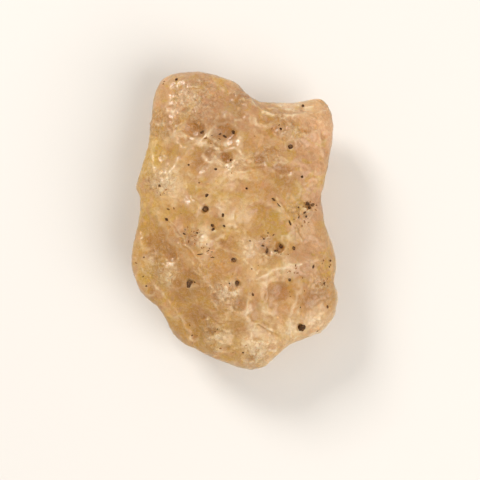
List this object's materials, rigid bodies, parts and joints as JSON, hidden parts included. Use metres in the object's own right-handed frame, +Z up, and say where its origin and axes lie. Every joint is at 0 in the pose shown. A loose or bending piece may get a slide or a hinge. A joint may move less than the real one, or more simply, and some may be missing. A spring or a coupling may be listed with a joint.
{
  "type": "libyan desert glass",
  "caption": "Natural silica glass piece, flat and sand-worn, with a notched corner, scooped hollows, low ridges and dark pits, lying on a small flat base.",
  "frame": {"origin": "under the middle of the piece, on the surface that it rests on", "axes": "+Z up out of the pitted face, +Y along the length towards the notched end, +X towards the notch"},
  "size_m": [0.0312, 0.045, 0.0136],
  "materials": {
    "desert_glass": "frosted, cloudy pale yellow, sand-blasted"
  },
  "bodies": {
    "root": {"desert_glass": "desert_glass"}
  },
  "joints": []
}
